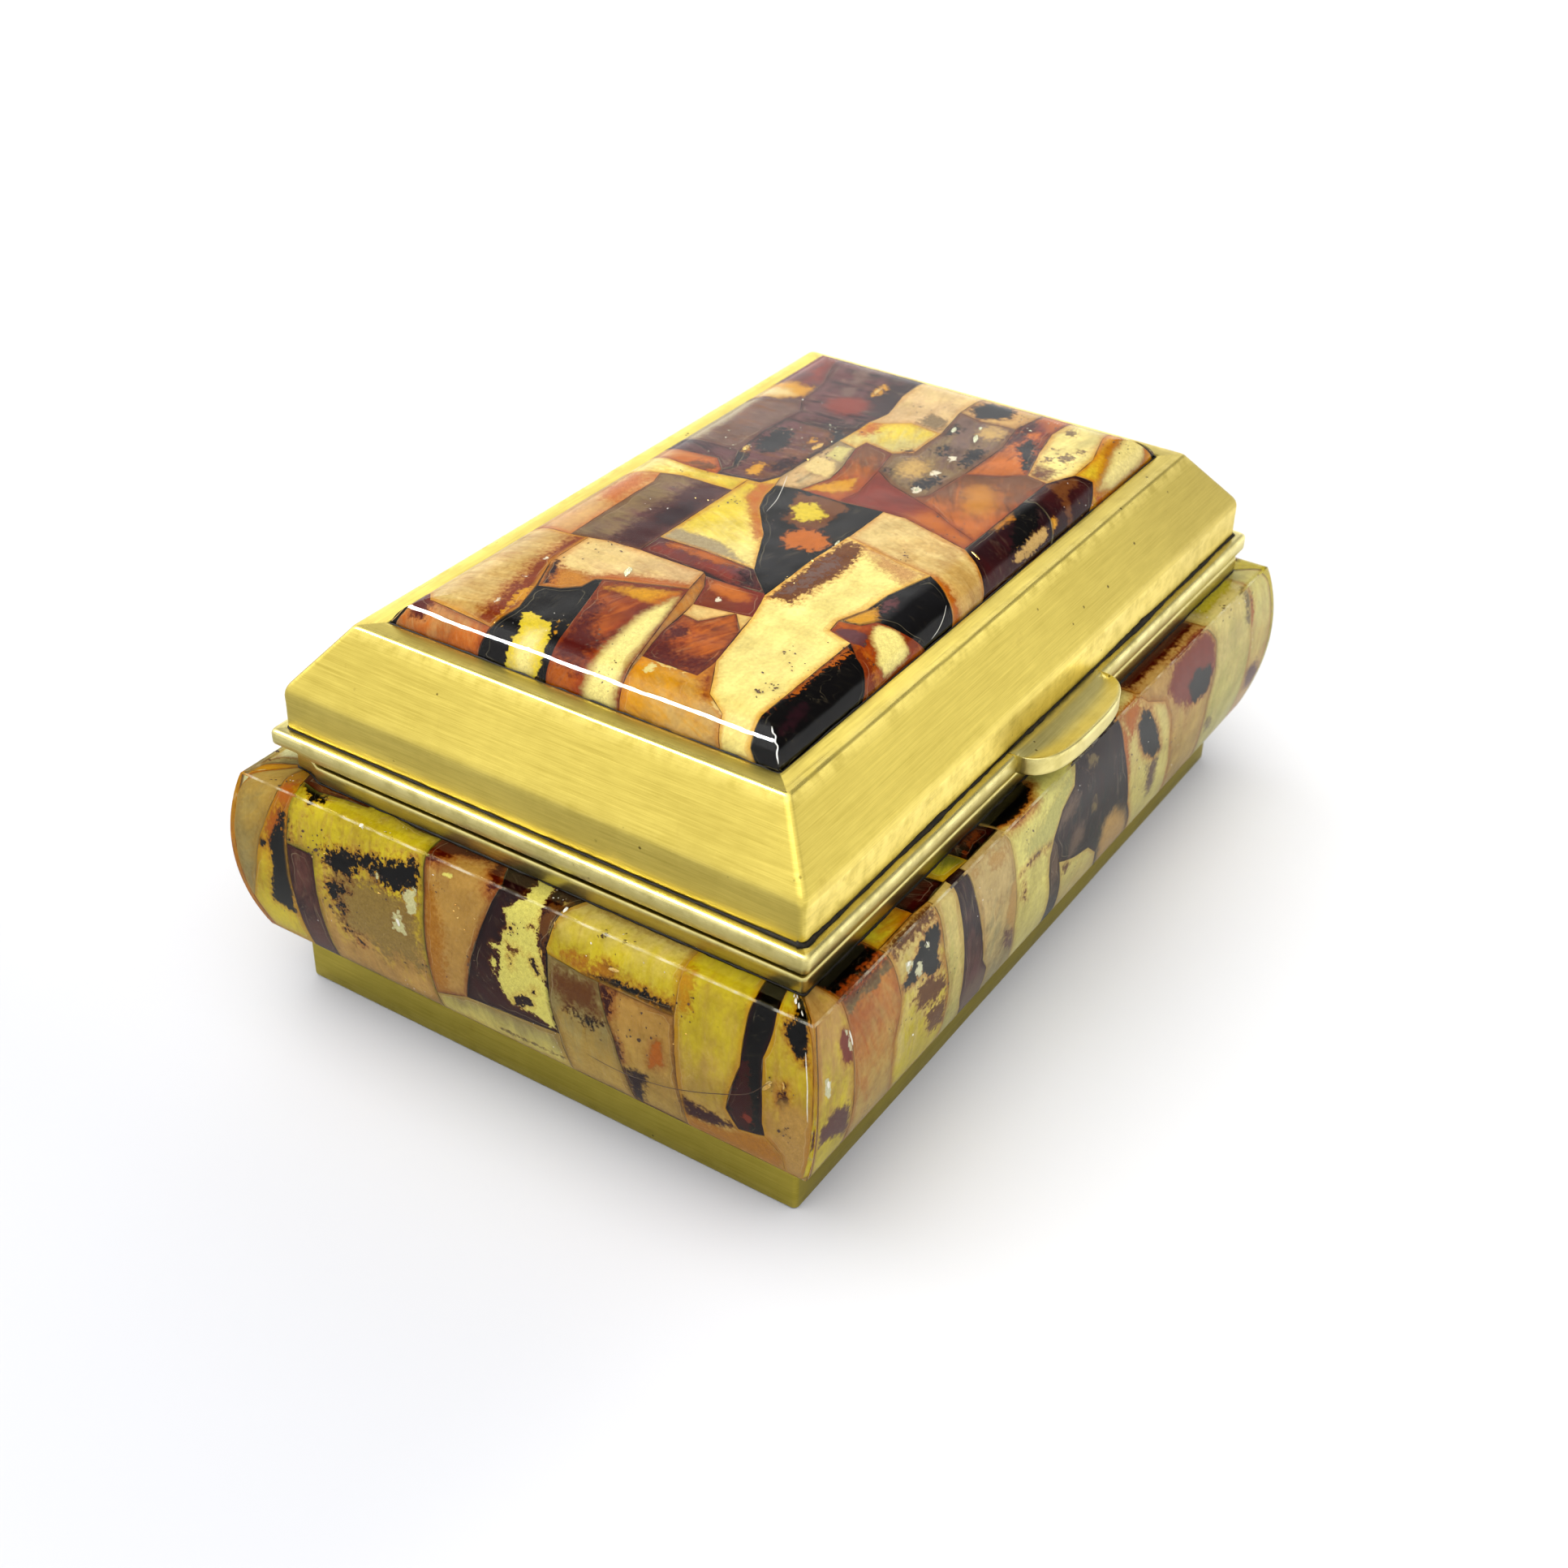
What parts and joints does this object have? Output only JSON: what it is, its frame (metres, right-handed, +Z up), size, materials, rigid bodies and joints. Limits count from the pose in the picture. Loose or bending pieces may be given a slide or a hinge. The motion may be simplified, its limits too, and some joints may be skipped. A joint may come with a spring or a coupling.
{
  "type": "hinged trinket casket",
  "caption": "Small brass casket with a hinged, chamfered lid, thumb tab and bulging side panels, veneered on its sides and lid with an amber mosaic.",
  "frame": {"origin": "centre of the flat underside", "axes": "+X along the front from left to right, +Y from the thumb tab to the hinge, +Z up"},
  "size_m": [0.0986, 0.0676, 0.0429],
  "materials": {
    "satin_brass": "brushed satin brass, lightly aged",
    "aged_brass": "brushed brass, olive patina",
    "pin_brass": "drawn wire",
    "amber_pale": "polished milky to clear pale amber",
    "amber_honey": "polished honey to cognac amber",
    "amber_dark": "polished near-black amber",
    "velvet": "short pile velvet",
    "felt": "pressed felt"
  },
  "bodies": {
    "casket": {"plinth_frame": "aged_brass", "base_felt": "felt", "body_tray": "satin_brass", "body_rim": "satin_brass", "lining_floor": "velvet", "lining_front": "velvet", "lining_back": "velvet", "lining_left": "velvet", "lining_right": "velvet", "front_tiles_pale": "amber_pale", "front_tiles_honey": "amber_honey", "front_tiles_dark": "amber_dark", "back_tiles_pale": "amber_pale", "back_tiles_honey": "amber_honey", "back_tiles_dark": "amber_dark", "left_tiles_pale": "amber_pale", "left_tiles_honey": "amber_honey", "left_tiles_dark": "amber_dark", "right_tiles_pale": "amber_pale", "right_tiles_honey": "amber_honey", "right_tiles_dark": "amber_dark", "hinge_leaf_body": "satin_brass", "hinge_pin": "pin_brass"},
    "lid": {"lid_flange": "satin_brass", "lid_shell": "satin_brass", "thumb_tab": "satin_brass", "lid_lining": "velvet", "hinge_leaf_lid": "satin_brass", "top_tiles_pale": "amber_pale", "top_tiles_honey": "amber_honey", "top_tiles_dark": "amber_dark"}
  },
  "joints": [
    {"name": "lid_hinge", "type": "hinge", "parent": "casket", "child": "lid", "pos_m": [0, 0.03045, 0.02725], "axis": [-1, 0, 0], "range_deg": [0, 105]}
  ]
}
